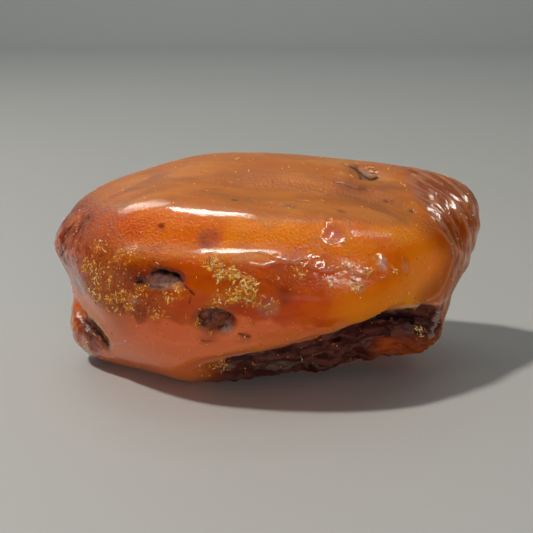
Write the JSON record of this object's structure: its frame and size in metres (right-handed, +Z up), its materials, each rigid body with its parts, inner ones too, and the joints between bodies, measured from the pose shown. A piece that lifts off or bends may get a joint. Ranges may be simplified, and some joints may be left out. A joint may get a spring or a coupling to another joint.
{
  "type": "raw amber piece",
  "caption": "Smooth, worn lump of raw amber: rounded top with a ridge and ledge along the front, pits, a wrinkled end and a rough undercut break below; rests on its flat underside.",
  "frame": {"origin": "on the resting plane, under the middle of the stone's bounding box", "axes": "+X along the stone's length towards its wrinkled end, +Y to its plain back, +Z up; the front, with its ledge, pits and break, faces -Y"},
  "size_m": [0.061, 0.0392, 0.0295],
  "materials": {
    "amber": "translucent orange-brown amber, waxy polish on the skin, with golden crust patches, dark pits and a rough dark red-brown break"
  },
  "bodies": {
    "root": {"amber_nugget": "amber"}
  },
  "joints": []
}
